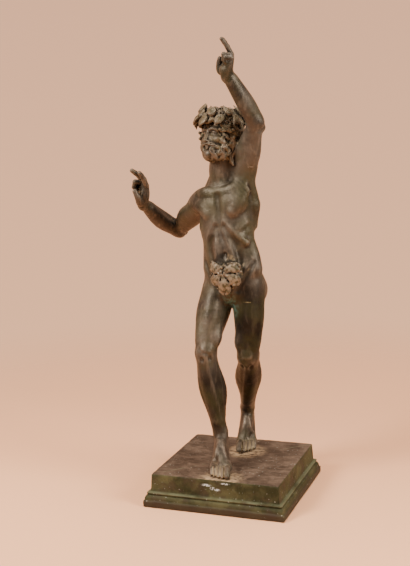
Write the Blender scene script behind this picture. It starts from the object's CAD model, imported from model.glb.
import math

import bmesh
import bpy
import numpy as np
from mathutils import Matrix, Vector


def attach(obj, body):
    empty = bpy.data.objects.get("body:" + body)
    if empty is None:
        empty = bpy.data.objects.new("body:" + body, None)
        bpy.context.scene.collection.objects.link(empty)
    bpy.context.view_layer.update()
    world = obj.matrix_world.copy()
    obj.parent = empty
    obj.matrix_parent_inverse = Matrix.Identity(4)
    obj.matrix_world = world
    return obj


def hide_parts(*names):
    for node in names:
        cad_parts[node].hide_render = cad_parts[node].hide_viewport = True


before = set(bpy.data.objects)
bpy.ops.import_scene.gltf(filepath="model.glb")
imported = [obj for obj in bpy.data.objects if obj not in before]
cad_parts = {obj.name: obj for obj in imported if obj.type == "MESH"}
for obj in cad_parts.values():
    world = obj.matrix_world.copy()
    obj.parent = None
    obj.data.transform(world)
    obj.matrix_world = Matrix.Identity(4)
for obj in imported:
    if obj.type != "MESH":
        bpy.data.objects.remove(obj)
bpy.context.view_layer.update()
MM = 0.001


# Studio: a sheet of pinkish paper under the statuette that fades out behind it into plain pink
# light, with large soft boxes at both sides and above. The camera stands to the statuette's left
# front, at the height of its head, and is turned a little.
CAMERA_PLACE = (0.2902, -0.8495, 0.3469)
CAMERA_AZIMUTH, CAMERA_DOWN, CAMERA_ROLL = 20.275, 9.915, -1.669
LENS = 66.08
PAPER_RADIUS = 9.0
PAPER_FRONT = (0.80, 0.430, 0.235, 1)
PAPER_BACK = (0.60, 0.32, 0.18, 1)
PAPER_TURNS = (-0.16, 0.26)
PAPER_FADES = (0.26, 0.80)
AIR_LOW, AIR_HIGH = -0.45, 0.15
AIR_BELOW = (0.50, 0.26, 0.14, 1)
AIR_ABOVE = (0.38, 0.20, 0.12, 1)
AIR_LIGHT = 3.0
AIR_MIDDLE = (-0.62, 0.78, 0)
AIR_EDGE, AIR_FULL = -0.35, 0.85
ROOM_TONE = (0.100, 0.077, 0.062, 1)
BOX_TONE = (1, 0.93, 0.86)
BOX_AIM = (0, 0, 0.2)


def set_out(thing):
    bpy.context.scene.collection.objects.link(thing)
    return thing


def camera_axes(azimuth, down, roll):
    a, e, r = (math.radians(x) for x in (azimuth, down, roll))
    back = Vector((math.sin(a) * math.cos(e), -math.cos(a) * math.cos(e), math.sin(e)))
    level = Vector((math.cos(a), math.sin(a), 0))
    rise = back.cross(level)
    right = level * math.cos(r) + rise * math.sin(r)
    up = rise * math.cos(r) - level * math.sin(r)
    return right, up, back


camera = set_out(bpy.data.objects.new("camera", bpy.data.cameras.new("camera")))
camera.data.lens = LENS
camera.data.clip_end = 50
camera.matrix_world = Matrix(camera_axes(CAMERA_AZIMUTH, CAMERA_DOWN, CAMERA_ROLL)).transposed().to_4x4()
camera.matrix_world.translation = CAMERA_PLACE
bpy.context.scene.camera = camera


class Coat:
    """A material's nodes, laid one over another from the object's own coordinates."""

    def __init__(self, name):
        self.material = bpy.data.materials.new(name)
        self.material.use_nodes = True
        self.tree = self.material.node_tree
        self.shader = self.tree.nodes["Principled BSDF"]
        self.place = self.node("ShaderNodeTexCoord").outputs["Object"]

    def node(self, kind, **settings):
        node = self.tree.nodes.new(kind)
        for key, value in settings.items():
            setattr(node, key, value)
        return node

    def join(self, value, socket):
        if isinstance(value, bpy.types.NodeSocket):
            self.tree.links.new(value, socket)
        else:
            socket.default_value = value

    def sum(self, kind, *values):
        node = self.node("ShaderNodeMath", operation=kind)
        for value, socket in zip(values, node.inputs):
            self.join(value, socket)
        return node.outputs[0]

    def span(self, value, low, high, out_low=0.0, out_high=1.0):
        node = self.node("ShaderNodeMapRange", interpolation_type="SMOOTHSTEP")
        for one, socket in zip((value, low, high, out_low, out_high), node.inputs):
            self.join(one, socket)
        return node.outputs[0]

    def speckle(self, size, detail=4.0, rough=0.55, stretch=(1, 1, 1), warp=0.0, at=(0, 0, 0)):
        """Cloudy noise, with blotches of about this size in metres."""
        mapping = self.node("ShaderNodeMapping")
        self.join(self.place, mapping.inputs["Vector"])
        mapping.inputs["Location"].default_value = at
        mapping.inputs["Scale"].default_value = tuple(1 / (size * s) for s in stretch)
        noise = self.node("ShaderNodeTexNoise")
        self.join(mapping.outputs[0], noise.inputs["Vector"])
        noise.inputs["Scale"].default_value = 1
        noise.inputs["Detail"].default_value = detail
        noise.inputs["Roughness"].default_value = rough
        noise.inputs["Distortion"].default_value = warp
        return noise.outputs[0]

    def lay(self, share, under, over):
        """One colour laid over another by a share."""
        node = self.node("ShaderNodeMix", data_type="RGBA")
        self.join(share, node.inputs["Factor"])
        self.join(under, node.inputs["A"])
        self.join(over, node.inputs["B"])
        return node.outputs["Result"]

    def axis(self, which):
        node = self.node("ShaderNodeSeparateXYZ")
        self.join(self.place, node.inputs[0])
        return node.outputs[which]

    def near(self, centre, inner, outer, stretch=(1, 1, 1)):
        """1 within `inner` metres of a place, fading to 0 at `outer`."""
        mapping = self.node("ShaderNodeMapping")
        self.join(self.place, mapping.inputs["Vector"])
        mapping.inputs["Scale"].default_value = tuple(1 / s for s in stretch)
        mapping.inputs["Location"].default_value = tuple(-c / s for c, s in zip(centre, stretch))
        length = self.node("ShaderNodeVectorMath", operation="LENGTH")
        self.join(mapping.outputs[0], length.inputs[0])
        return self.span(length.outputs["Value"], inner, outer, 1, 0)

    def bump(self, height, metres, strength=1.0, under=None):
        node = self.node("ShaderNodeBump")
        node.inputs["Strength"].default_value = strength
        node.inputs["Distance"].default_value = metres
        self.join(height, node.inputs["Height"])
        if under:
            self.join(under, node.inputs["Normal"])
        return node.outputs[0]


def paper():
    coat = Coat("studio_paper")
    shine = coat.shader
    solid = coat.near((0, 0, 0), *PAPER_FADES)
    streak = coat.speckle(0.25, 5, stretch=(3, 1, 1))
    back = coat.sum("ADD", coat.axis(1), coat.sum("MULTIPLY", coat.sum("SUBTRACT", streak, 0.5), 0.06))
    tone = coat.lay(coat.span(back, *PAPER_TURNS), PAPER_FRONT, PAPER_BACK)
    coat.join(tone, shine.inputs["Base Color"])
    shine.inputs["Roughness"].default_value = 0.9
    shine.inputs["Specular IOR Level"].default_value = 0.15
    coat.join(coat.bump(coat.speckle(0.0015, 3), 0.0002, 0.3), shine.inputs["Normal"])
    coat.join(solid, shine.inputs["Alpha"])
    return coat.material


def lay_paper():
    shape = bmesh.new()
    rings = [0.0, 0.3, 0.7, 1.2, 2.0, 3.5, PAPER_RADIUS]
    bmesh.ops.create_circle(shape, cap_ends=True, radius=rings[1], segments=64)
    edge = [e for e in shape.edges if e.is_boundary]
    for inner, outer in zip(rings[1:], rings[2:]):
        made = bmesh.ops.extrude_edge_only(shape, edges=edge)["geom"]
        points = [v for v in made if isinstance(v, bmesh.types.BMVert)]
        bmesh.ops.scale(shape, verts=points, vec=(outer / inner, outer / inner, 1))
        edge = [e for e in made if isinstance(e, bmesh.types.BMEdge) and e.is_boundary]
    mesh = bpy.data.meshes.new("studio_paper")
    shape.to_mesh(mesh)
    shape.free()
    mesh.materials.append(paper())
    set_out(bpy.data.objects.new("studio_paper", mesh))


def fill_air():
    world = bpy.data.worlds.new("studio_air")
    bpy.context.scene.world = world
    world.use_nodes = True
    nodes, links = world.node_tree.nodes, world.node_tree.links
    air = nodes["Background"]
    outlook = nodes.new("ShaderNodeTexCoord").outputs["Generated"]
    way = nodes.new("ShaderNodeSeparateXYZ")
    links.new(outlook, way.inputs[0])
    rise = nodes.new("ShaderNodeMapRange")
    rise.inputs["From Min"].default_value = AIR_LOW
    rise.inputs["From Max"].default_value = AIR_HIGH
    links.new(way.outputs["Z"], rise.inputs["Value"])
    sweep = nodes.new("ShaderNodeMix")
    sweep.data_type = "RGBA"
    links.new(rise.outputs[0], sweep.inputs["Factor"])
    sweep.inputs["A"].default_value = AIR_BELOW
    sweep.inputs["B"].default_value = AIR_ABOVE
    # the pink light is behind the statuette, and the room in front of it is dimmer
    behind = nodes.new("ShaderNodeVectorMath")
    behind.operation = "DOT_PRODUCT"
    links.new(outlook, behind.inputs[0])
    behind.inputs[1].default_value = AIR_MIDDLE
    share = nodes.new("ShaderNodeMapRange")
    share.interpolation_type = "SMOOTHSTEP"
    share.inputs["From Min"].default_value = AIR_EDGE
    share.inputs["From Max"].default_value = AIR_FULL
    links.new(behind.outputs["Value"], share.inputs["Value"])
    mix = nodes.new("ShaderNodeMix")
    mix.data_type = "RGBA"
    links.new(share.outputs[0], mix.inputs["Factor"])
    mix.inputs["A"].default_value = ROOM_TONE
    links.new(sweep.outputs["Result"], mix.inputs["B"])
    links.new(mix.outputs["Result"], air.inputs["Color"])
    air.inputs["Strength"].default_value = AIR_LIGHT


def soft_box(name, place, size, watts):
    box = bpy.data.lights.new(name, "AREA")
    box.shape = "RECTANGLE"
    box.size, box.size_y = size
    box.energy = watts
    box.color = BOX_TONE
    thing = set_out(bpy.data.objects.new(name, box))
    thing.location = place
    turn = (Vector(BOX_AIM) - Vector(place)).to_track_quat("-Z", "Y")
    thing.rotation_euler = turn.to_euler()


lay_paper()
fill_air()
soft_box("box_left", (-0.95, -1.15, 1.15), (0.6, 0.6), 56)
soft_box("box_right", (1.45, -0.30, 0.85), (0.6, 0.8), 38)
soft_box("box_above", (0.1, 0.05, 1.7), (1.0, 0.8), 26)


# Plinth: a square moulding cast in bronze, a plain foot band, a hollow, a bead and a block that
# leans in slightly. Its edges are knocked and its casting skin is uneven. The underside is plain.
PLINTH_HALF = 64.0
PLINTH_TOP = 28.5
BLOCK_HALF = 57.5
BLOCK_FROM = 13.2
FOOT_BAND = 6.2
HOLLOW_SINKS, HOLLOW_RISES = 2.4, 3.9
BEAD = 1.15
BLOCK_LEANS = 0.8
SIDE_POINTS = 56
CORNER_POINTS = 5
OLIVE = (0.020, 0.021, 0.008, 1)
OLIVE_PALE = (0.066, 0.062, 0.028, 1)
PLINTH_BROWN = (0.036, 0.024, 0.016, 1)
PLINTH_BROWN_PALE = (0.110, 0.075, 0.052, 1)
BEAD_GREEN = (0.135, 0.140, 0.080, 1)
DUST = (0.320, 0.225, 0.130, 1)
SPECK = (0.300, 0.300, 0.250, 1)
PAINT = (0.460, 0.500, 0.500, 1)
DUST_AT_FEET = ((0.0045, -0.051, 0.0285), (0.0035, 0.022, 0.0285))
PAINT_FLECKS = (
    ((-0.0065, -0.0580, 0.0236), (2.6, 2, 0.7)), ((-0.0010, -0.0580, 0.0212), (1.3, 2, 0.8)),
    ((0.0032, -0.0580, 0.0203), (1.6, 2, 0.6)), ((0.0105, -0.0575, 0.0262), (2.4, 2, 0.5)),
)


def cloud(points, size, seed):
    """Smooth random heights from -1 to 1, with bumps of about this size."""
    lattice = np.random.default_rng(seed).uniform(-1, 1, (32, 32, 32)).astype(np.float32)
    spot = np.asarray(points) / size
    cell = np.floor(spot).astype(np.int64)
    share = spot - cell
    share = share * share * (3 - 2 * share)
    total = np.zeros(len(spot), np.float32)
    for step in np.ndindex(2, 2, 2):
        weight = np.prod(np.where(step, share, 1 - share), axis=1)
        i, j, k = ((cell + step) % 32).T
        total += weight * lattice[i, j, k]
    return total


def cast(name, points, faces, material):
    """A smooth mesh from points in millimetres and rows of four corners."""
    mesh = bpy.data.meshes.new(name)
    mesh.vertices.add(len(points))
    mesh.vertices.foreach_set("co", (np.asarray(points, np.float32) * MM).ravel())
    mesh.loops.add(faces.size)
    mesh.loops.foreach_set("vertex_index", faces.astype(np.int32).ravel())
    mesh.polygons.add(len(faces))
    mesh.polygons.foreach_set("loop_start", np.arange(0, faces.size, faces.shape[1], dtype=np.int32))
    mesh.polygons.foreach_set("use_smooth", np.ones(len(faces), bool))
    mesh.update(calc_edges=True)
    mesh.validate()
    mesh.materials.append(material)
    return set_out(bpy.data.objects.new(name, mesh))


def square_ring(half, corner, z):
    """Points round a square with rounded corners."""
    corner = min(corner, half * 0.5)
    flat = half - corner
    ring = []
    for side in range(4):
        a = side * math.pi / 2
        turn = np.array([[math.cos(a), -math.sin(a)], [math.sin(a), math.cos(a)]])
        for share in np.linspace(-1, 1, SIDE_POINTS):
            ring.append(turn @ (share * flat, -half))
        for step in range(1, CORNER_POINTS):
            b = step / CORNER_POINTS * math.pi / 2
            ring.append(turn @ (flat + corner * math.sin(b), -flat - corner * math.cos(b)))
    return np.column_stack([np.array(ring), np.full(len(ring), z)])


def plinth_profile():
    """[half width, height, corner radius] from the middle of the underside to the top's middle."""
    foot = PLINTH_HALF
    block = BLOCK_HALF
    rows = [(8, 0, 1), (30, 0, 1), (50, 0, 1), (foot - 3, 0, 1.5), (foot - 0.9, 0, 1.4)]
    rows += [(foot - 0.25, 0.3, 1.5), (foot, 0.9, 1.6), (foot, 2.2, 1.6), (foot, 3.8, 1.6)]
    rows += [(foot, 5.2, 1.6), (foot - 0.25, 5.9, 1.5), (foot - 0.9, FOOT_BAND, 1.4)]
    for i in range(9):
        a = i / 8 * math.pi / 2
        sunk = 1.2 + HOLLOW_SINKS * (1 - math.cos(a))
        rows.append((foot - sunk, FOOT_BAND + 0.5 + HOLLOW_RISES * math.sin(a), 1.3))
    for i in range(8):
        a = (-0.45 + 0.95 * i / 7) * math.pi
        rows.append((foot - 4.0 + BEAD * math.cos(a), BLOCK_FROM - BEAD + BEAD * math.sin(a), 1.4))
    rows += [(block + 1.15, BLOCK_FROM + 0.05, 1.0), (block + 0.85, BLOCK_FROM + 0.4, 1.0)]
    for share in np.linspace(0.08, 1, 9):
        height = BLOCK_FROM + 0.4 + share * (PLINTH_TOP - 0.7 - BLOCK_FROM - 0.4)
        rows.append((block + BLOCK_LEANS * (1 - share), height, 1.0))
    rows += [(block - 0.15, PLINTH_TOP - 0.25, 1.0), (block - 0.5, PLINTH_TOP, 1.0)]
    rows += [(half, PLINTH_TOP, 1.0) for half in (55.5, 52.5, 48, 42, 35, 27, 18, 9)]
    return rows


def plinth_material():
    coat = Coat("green_bronze_plinth")
    shine = coat.shader
    height = coat.axis(2)
    facing = coat.node("ShaderNodeSeparateXYZ")
    coat.join(coat.node("ShaderNodeTexCoord").outputs["Normal"], facing.inputs[0])
    on_top = coat.span(facing.outputs[2], 0.75, 0.95)
    on_top = coat.sum("MULTIPLY", on_top, coat.span(height, 0.0275, 0.0283))
    broad = coat.speckle(0.016, 5, 0.6, warp=0.4)
    fine = coat.speckle(0.0022, 4, 0.6)
    streaks = coat.speckle(0.009, 6, 0.70, stretch=(1.9, 0.9, 1), warp=1.6)
    side = coat.lay(coat.span(broad, 0.35, 0.68), OLIVE, OLIVE_PALE)
    brown_side = coat.sum("MULTIPLY", coat.span(coat.speckle(0.011, 4, at=(3, 1, 2)), 0.46, 0.66), 0.6)
    side = coat.lay(brown_side, side, PLINTH_BROWN)
    band = coat.span(height, 0.0075, 0.0050)
    side = coat.lay(coat.sum("MULTIPLY", band, 0.75), side, PLINTH_BROWN)
    blotch = coat.sum("ADD", coat.sum("MULTIPLY", streaks, 0.5), coat.sum("MULTIPLY", broad, 0.5))
    top = coat.lay(coat.span(blotch, 0.38, 0.64), PLINTH_BROWN, PLINTH_BROWN_PALE)
    tone = coat.lay(on_top, side, top)
    worn = coat.span(coat.node("ShaderNodeNewGeometry").outputs["Pointiness"], 0.53, 0.60)
    rub = coat.sum("MULTIPLY", worn, coat.span(coat.speckle(0.006, 4, at=(1, 7, 3)), 0.38, 0.62))
    tone = coat.lay(coat.sum("MULTIPLY", rub, 0.7), tone, BEAD_GREEN)
    bead = coat.sum("MULTIPLY", coat.span(height, 0.0118, 0.0125), coat.span(height, 0.0136, 0.0131))
    bead = coat.sum("MULTIPLY", bead, coat.span(coat.speckle(0.02, 3, at=(5, 5, 1)), 0.30, 0.60))
    tone = coat.lay(coat.sum("MULTIPLY", bead, 0.5), tone, BEAD_GREEN)
    # dust and old wax round the feet, and flecks of white paint on the front of the block
    for centre in DUST_AT_FEET:
        dusty = coat.near(centre, 0.010, 0.023)
        dusty = coat.sum("MULTIPLY", dusty, coat.span(coat.speckle(0.004, 4, at=(2, 4, 8)), 0.34, 0.58))
        tone = coat.lay(coat.sum("MULTIPLY", dusty, on_top), tone, DUST)
    for centre, stretch in PAINT_FLECKS:
        fleck = coat.near(centre, 0.0008, 0.0022, stretch)
        flaked = coat.span(coat.speckle(0.0014, 3, 0.6, at=(4, 1, 6)), 0.42, 0.52)
        fleck = coat.sum("MULTIPLY", fleck, flaked)
        tone = coat.lay(coat.sum("MULTIPLY", fleck, 0.9), tone, PAINT)
    specks = coat.span(coat.speckle(0.0016, 1, 0.4, at=(9, 2, 6)), 0.735, 0.76)
    tone = coat.lay(coat.sum("MULTIPLY", specks, 0.8), tone, SPECK)
    coat.join(tone, shine.inputs["Base Color"])
    shine.inputs["Metallic"].default_value = 0.12
    shine.inputs["Specular IOR Level"].default_value = 0.12
    coat.join(coat.span(broad, 0.3, 0.7, 0.58, 0.78), shine.inputs["Roughness"])
    skin = coat.bump(coat.sum("ADD", fine, coat.sum("MULTIPLY", streaks, 0.6)), 0.0008, 0.45)
    coat.join(coat.bump(specks, 0.0002, 0.5, skin), shine.inputs["Normal"])
    return coat.material


def make_plinth():
    rows = plinth_profile()
    rings = np.array([square_ring(half, corner, z) for half, z, corner in rows])
    count = rings.shape[1]
    points = rings.reshape(-1, 3)
    # the casting's uneven skin, and knocks along its edges and corners
    heights = points[:, 2]
    ease = np.clip(heights, 0, 1)[:, None]
    skin = 0.10 * cloud(points, 9, 1) + 0.05 * cloud(points, 3.1, 2)
    outward = points * (1, 1, 0) / np.maximum(np.abs(points[:, :2]).max(1), 1)[:, None]
    on_top = heights > PLINTH_TOP - 0.05
    inner = on_top & (np.abs(points[:, :2]).max(1) < BLOCK_HALF - 1)
    points = points + outward * (skin * ~on_top)[:, None] * ease
    points[inner, 2] += 0.06 * cloud(points[inner], 7, 3) - 0.05
    edge_rows = np.isin(np.round(heights, 2), np.round([PLINTH_TOP, PLINTH_TOP - 0.25, FOOT_BAND, 5.9], 2))
    at_edge = edge_rows & ~inner
    knock = np.clip(cloud(points, 2.6, 4) + 0.7 * cloud(points, 8, 5) - 0.62, 0, 1) * 0.9
    corner = np.minimum(np.abs(points[:, 0]), np.abs(points[:, 1])) > BLOCK_HALF - 2.5
    knock = np.maximum(knock, corner * (0.25 + 0.25 * cloud(points, 3, 6)))
    points[at_edge] -= (outward + (0, 0, 0.7))[at_edge] * (knock * 0.8)[at_edge, None]
    # faces between the rings, and the caps in the middle of the underside and the top
    first = np.arange(len(rows) - 1)[:, None] * count + np.arange(count)[None]
    second = np.arange(len(rows) - 1)[:, None] * count + (np.arange(count)[None] + 1) % count
    faces = np.stack([first, second, second + count, first + count], -1).reshape(-1, 4)
    thing = cast("moulded_plinth", points, faces, plinth_material())
    shape = bmesh.new()
    shape.from_mesh(thing.data)
    shape.verts.ensure_lookup_table()
    last = (len(rows) - 1) * count
    underside = [shape.verts[i] for i in range(count)]
    top = [shape.verts[last + i] for i in range(count)]
    for ring in (underside[::-1], top):
        centre = shape.verts.new(sum((v.co for v in ring), Vector()) / count)
        for a, b in zip(ring, ring[1:] + ring[:1]):
            shape.faces.new((a, b, centre)).smooth = True
    bmesh.ops.recalc_face_normals(shape, faces=shape.faces)
    shape.to_mesh(thing.data)
    shape.free()
    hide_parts("plinth")
    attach(thing, "root")


make_plinth()


# Figure: one hollow bronze casting of a bearded young faun that dances on the balls of its feet.
# It is modelled in clay over bones of the canon's lengths, cast in one piece, and chased.
# This part is the clay and the bones; the body, the head and the finish follow.
STATURE = 312.0
THIGH = 0.196 * STATURE
SHANK = 0.24 * STATURE
UPPER_ARM = 0.175 * STATURE
FOREARM = 0.162 * STATURE
CLAY_GRAIN = 0.5
NOTHING = 1000.0
CLOSING_ROUNDS = 40
FEEL_FROM, FEEL_TO, FEEL_STEP, FEEL_BACK = 34, -12, 0.25, 0.12
STEPS_TO_A_KNOT = 4
SKIN, HAIR, WREATH, LEAF = range(4)


def deck(x, y, z):
    """A place given from the middle of the plinth's top."""
    return np.array([x, y, z + PLINTH_TOP], float)


def unit(way):
    return np.asarray(way, float) / np.linalg.norm(way)


class Bone:
    """A bone's own directions: outward from the body's middle, to the front, and along it."""

    def __init__(self, origin, along, front, hand=1):
        self.origin = np.asarray(origin, float)
        self.along = unit(along)
        self.out = unit(np.cross(front, self.along))
        self.front = np.cross(self.along, self.out)
        self.out = self.out * hand

    def at(self, out, front, along):
        return self.origin + out * self.out + front * self.front + along * self.along


def middle_joint(start, end, first, second, towards):
    """The middle joint of a limb whose ends are set, bent towards a direction."""
    line = end - start
    reach = min(np.linalg.norm(line), 0.999 * (first + second))
    line = unit(line)
    along = (first**2 - second**2 + reach**2) / (2 * reach)
    aside = math.sqrt(max(0.0, first**2 - along**2))
    return start + along * line + aside * unit(np.asarray(towards) - np.dot(towards, line) * line)


def smooth_way(points, share):
    """A place on a smooth curve through points, a share of the way along it."""
    last = len(points) - 1
    at = share * last
    i = min(int(at), last - 1)
    t = at - i
    b, c = points[i], points[i + 1]
    a = points[i - 1] if i > 0 else 2 * b - c
    d = points[i + 2] if i < last - 1 else 2 * c - b
    gaps = [max(math.dist(p, q), 1e-8) ** 0.5 for p, q in ((a, b), (b, c), (c, d))]
    g0, g1, g2 = gaps
    start = ((b - a) / g0 - (c - a) / (g0 + g1) + (c - b) / g1) * g1
    stop = ((c - b) / g1 - (d - b) / (g1 + g2) + (d - c) / g2) * g1
    return (
        b + start * t + (-3 * b + 3 * c - 2 * start - stop) * t**2 + (2 * b - 2 * c + start + stop) * t**3
    )


def smooth_width(widths, share):
    last = len(widths) - 1
    at = share * last
    i = min(int(at), last - 1)
    t = at - i
    a, b, c, d = (widths[min(max(n, 0), last)] for n in range(i - 1, i + 3))
    v0, v1 = (c - a) / 2, (d - b) / 2
    return (2 * b - 2 * c + v0 + v1) * t**3 + (-3 * b + 3 * c - 2 * v0 - v1) * t**2 + v0 * t + b


class Clay:
    """A grid of signed distances, on which shapes are laid and cut softly."""

    def __init__(self, low, high, grain):
        self.low = np.asarray(low, float)
        self.grain = grain
        self.size = np.ceil((np.asarray(high) - self.low) / grain).astype(int) + 1
        self.field = np.full(self.size, NOTHING, np.float32)
        self.kind = np.zeros(self.size, np.uint8)
        self.soft = 2.0
        self.laying = SKIN

    def window(self, low, high):
        """The part of the grid round a box, and its coordinates along each axis."""
        reach = self.soft + 2 * self.grain
        first = np.clip(np.floor((low - reach - self.low) / self.grain), 0, self.size).astype(int)
        last = np.clip(np.ceil((high + reach - self.low) / self.grain) + 1, 0, self.size).astype(int)
        places = []
        for k, (a, b) in enumerate(zip(first, last)):
            shape = [1, 1, 1]
            shape[k] = -1
            places.append((self.low[k] + self.grain * np.arange(a, b)).astype(np.float32).reshape(shape))
        return first, last, places

    def work(self, first, last, depth, cut):
        rows = tuple(slice(a, b) for a, b in zip(first, last))
        was = -self.field[rows] if cut else self.field[rows]
        share = np.clip(0.5 + (was - depth) * np.float32(0.5 / self.soft), 0, 1)
        now = was + (depth - was) * share - np.float32(self.soft) * share * (1 - share)
        self.field[rows] = -now if cut else now
        if not cut:
            self.kind[rows][share > 0.5] = self.laying

    def strand(self, knots, cut=False, flat=1.0, thin=(0, 0, 1)):
        """A tapering strand through knots of (bone, out, front, along, radius)."""
        points = [bone.at(out, front, along) for bone, out, front, along, _ in knots]
        widths = [knot[4] for knot in knots]
        count = 1 if len(knots) == 2 else STEPS_TO_A_KNOT * (len(knots) - 1)
        shares = [i / count for i in range(count + 1)]
        way = np.array([smooth_way(points, s) for s in shares])
        radii = np.array([max(0.05, smooth_width(widths, s)) for s in shares])
        first, last, _ = self.window(way.min(0) - radii.max(), way.max(0) + radii.max())
        depth = np.full(last - first, NOTHING, np.float32)
        squeeze = np.float32(1 / flat**2 - 1)
        for start, end, r0, r1 in zip(way, way[1:], radii, radii[1:]):
            wide = max(r0, r1)
            low, high = np.minimum(start, end) - wide, np.maximum(start, end) + wide
            a, b, (x, y, z) = self.window(low, high)
            if np.any(b <= a):
                continue
            run = (end - start).astype(np.float32)
            x, y, z = (c - np.float32(s) for c, s in zip((x, y, z), start))
            t = (run[0] * x + run[1] * y + run[2] * z) * np.float32(1 / (run @ run + 1e-9))
            np.clip(t, 0, 1, out=t)
            x, y, z = x - t * run[0], y - t * run[1], z - t * run[2]
            span = x * x + y * y + z * z
            if flat == 1:
                away = np.sqrt(span) - np.float32(r0) - t * np.float32(r1 - r0)
            else:
                rise = x * np.float32(thin[0]) + y * np.float32(thin[1]) + z * np.float32(thin[2])
                span = np.sqrt(span + rise * rise * squeeze) + np.float32(1e-9)
                slope = np.sqrt(1 + squeeze * rise * rise / (span * span * np.float32(flat**2)))
                away = (span - np.float32(r0) - t * np.float32(r1 - r0)) / slope
            rows = tuple(slice(p, q) for p, q in zip(a - first, b - first))
            np.minimum(depth[rows], away, out=depth[rows])
        self.work(first, last, depth, cut)

    def oval(self, bone, place, radii, cut=False):
        centre = bone.at(*place)
        most = max(radii)
        first, last, places = self.window(centre - most, centre + most)
        if np.any(last <= first):
            return
        x, y, z = (c - np.float32(s) for c, s in zip(places, centre))
        scaled = []
        for way, radius in zip((bone.out, bone.front, bone.along), radii):
            w = (way / radius).astype(np.float32)
            scaled.append(x * w[0] + y * w[1] + z * w[2])
        size = np.sqrt(sum(s * s for s in scaled))
        slope = np.sqrt(sum((s / np.float32(r)) ** 2 for s, r in zip(scaled, radii))) + np.float32(1e-9)
        self.work(first, last, (size * (size - 1)) / slope, cut)

    def depth_at(self, places):
        """The signed distance at any places, between the grid's points."""
        spot = (np.asarray(places) - self.low) / self.grain
        cell = np.clip(np.floor(spot).astype(int), 0, self.size - 2)
        share = spot - cell
        total = 0
        for step in np.ndindex(2, 2, 2):
            weight = np.prod(np.where(step, share, 1 - share), axis=-1)
            total = total + weight * self.field[tuple(np.moveaxis(cell + step, -1, 0))]
        return total

    def skin(self, bone, out, along):
        """How far to the front the clay's surface is from a place on a bone."""
        reach = np.arange(FEEL_FROM, FEEL_TO, -FEEL_STEP)
        depth = self.depth_at([bone.at(out, r, along) for r in reach])
        return reach[int(np.argmax(depth < 0))] + FEEL_BACK

    def close_touches(self):
        """Fills a corner of each cell where the clay would only touch itself at an edge or point."""
        corners = list(np.ndindex(2, 2, 2))
        strides = np.array([self.size[1] * self.size[2], self.size[2], 1])
        offset = np.array([np.dot(c, strides) for c in corners])
        edges = [(a, b) for a in range(8) for b in range(8) if bin(a ^ b).count("1") == 1 and a < b]

        def parts(mask):
            owner = list(range(8))
            for _ in range(3):
                for a, b in edges:
                    if mask >> a & 1 and mask >> b & 1:
                        owner[a] = owner[b] = min(owner[a], owner[b])
            return len({owner[c] for c in range(8) if mask >> c & 1})

        touches = np.array([parts(m) > 1 or parts(255 - m) > 1 for m in range(256)])
        values = self.field.ravel()
        cells = self.crossed_cells()
        for _ in range(CLOSING_ROUNDS):
            near = values[cells[:, None] + offset]
            mask = ((near < 0) * (1 << np.arange(8))).sum(1)
            bad = touches[mask]
            if not bad.any():
                break
            near = np.where(near[bad] < 0, NOTHING, near[bad])
            filled = np.unique(cells[bad] + offset[near.argmin(1)])
            values[filled] = -0.1 * self.grain
            cells = np.unique(filled[:, None] - offset)

    def crossed_cells(self):
        some = every = self.field < 0
        for k in range(3):
            here = tuple(slice(None, -1) if n == k else slice(None) for n in range(3))
            there = tuple(slice(1, None) if n == k else slice(None) for n in range(3))
            some = some[here] | some[there]
            every = every[here] & every[there]
        spots = np.stack(np.nonzero(some & ~every))
        return np.ravel_multi_index(spots, self.size)

    def surface(self):
        """The surface where the distance is zero: one point in each cell that it crosses."""
        corners = np.array(list(np.ndindex(2, 2, 2)))
        strides = np.array([self.size[1] * self.size[2], self.size[2], 1])
        offset = corners @ strides
        values = self.field.ravel()
        cells = self.crossed_cells()
        near = values[cells[:, None] + offset]
        total = np.zeros((len(cells), 3))
        crossings = np.zeros(len(cells))
        for a in range(8):
            for b in range(a + 1, 8):
                if bin(a ^ b).count("1") != 1:
                    continue
                da, db = near[:, a], near[:, b]
                cross = (da < 0) != (db < 0)
                share = np.where(cross, da / np.where(cross, da - db, 1), 0)
                total += cross[:, None] * (corners[a] + share[:, None] * (corners[b] - corners[a]))
                crossings += cross
        spots = np.stack(np.unravel_index(cells, self.size), 1)
        points = self.low + self.grain * (spots + total / crossings[:, None])
        number = np.full(values.size, -1, np.int32)
        number[cells] = np.arange(len(cells))
        quads = []
        for axis in range(3):
            u, v = strides[(axis + 1) % 3], strides[(axis + 2) % 3]
            here = cells[(near[:, 0] < 0) != (near[:, 4 >> axis] < 0)]
            start = values[here] < 0
            ring = number[np.stack([here, here - u, here - u - v, here - v], 1)]
            quads.append(np.where(start[:, None], ring, ring[:, ::-1]))
        return points, np.concatenate(quads)


# Pose: the joints and the bones between them. The weight is on the right leg, whose foot is in
# front; the left arm is raised over the head, and the right one is held out.
hip = {"right": deck(-15.4, 9, 157), "left": deck(16.2, 6, 156)}
ankle = {"right": deck(-6.6, -16, 27), "left": deck(-1, 43, 34)}
ball = {"right": deck(0.8, -40, 4.2), "left": deck(1.6, 31, 4.6)}
knee = {
    "right": middle_joint(hip["right"], ankle["right"], THIGH, SHANK, (-0.62, -1, 0.1)),
    "left": middle_joint(hip["left"], ankle["left"], THIGH, SHANK, (0.3, -1, 0.2)),
}
pelvis = Bone(deck(2.5, 7, 161), (-0.03, 0.02, 1), (-0.12, -1, 0), -1)
chest = Bone(deck(-3, 8, 214), (-0.12, 0.04, 1), (-0.17, -1, 0.04), -1)
shoulder = {"right": chest.at(-25, -2, 19), "left": chest.at(17.5, -1, 36)}
neck = Bone(chest.at(0, -2, 33), (0, -0.16, 1), (-0.25, -1, 0), -1)
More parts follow.
